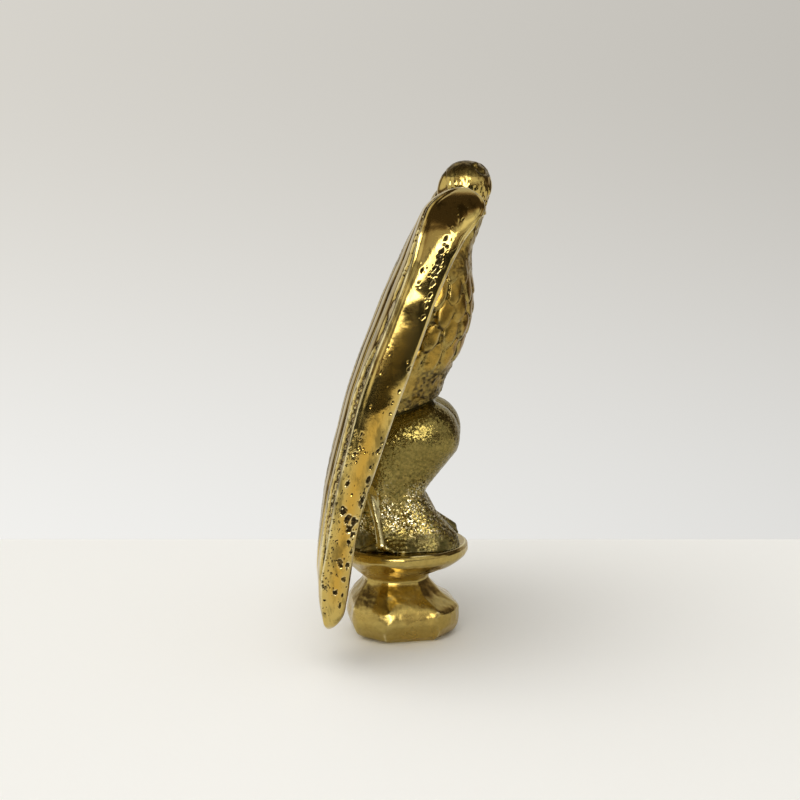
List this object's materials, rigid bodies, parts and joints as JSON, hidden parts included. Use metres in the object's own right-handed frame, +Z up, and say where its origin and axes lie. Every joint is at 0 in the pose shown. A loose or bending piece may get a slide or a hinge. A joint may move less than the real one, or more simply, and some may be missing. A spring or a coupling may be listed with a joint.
{
  "type": "hood ornament",
  "caption": "Cast brass eagle mascot with a scaled breast and drooping wings, perched on a stippled mound over a flange and an octagonal knob with a tapped hole below.",
  "frame": {"origin": "centre of the flat base face, at the mouth of the mounting thread", "axes": "+X forward, the way the breast faces; +Y to the eagle's left; +Z up"},
  "size_m": [0.0439, 0.0948, 0.127],
  "materials": {
    "body_brass": "aged, polished on the high spots, dark in the recesses",
    "stippled_brass": "aged, stippled, satin",
    "wing_brass": "polished and lightly pitted",
    "pedestal_brass": "hand filed, satin",
    "pin_steel": "ground",
    "tie_steel": "plated",
    "bush_brass": "machined"
  },
  "bodies": {
    "root": {"torso": "body_brass", "head": "body_brass", "legs_and_perch": "stippled_brass", "tail": "wing_brass", "right_wing": "wing_brass", "left_wing": "wing_brass", "pedestal": "pedestal_brass", "wing_dowels": "pin_steel", "neck_pin": "pin_steel", "tail_pin": "pin_steel", "register_pins": "pin_steel", "tie_rod": "tie_steel", "tie_washer": "tie_steel", "tie_nut": "tie_steel", "mount_bush": "bush_brass"}
  },
  "joints": []
}
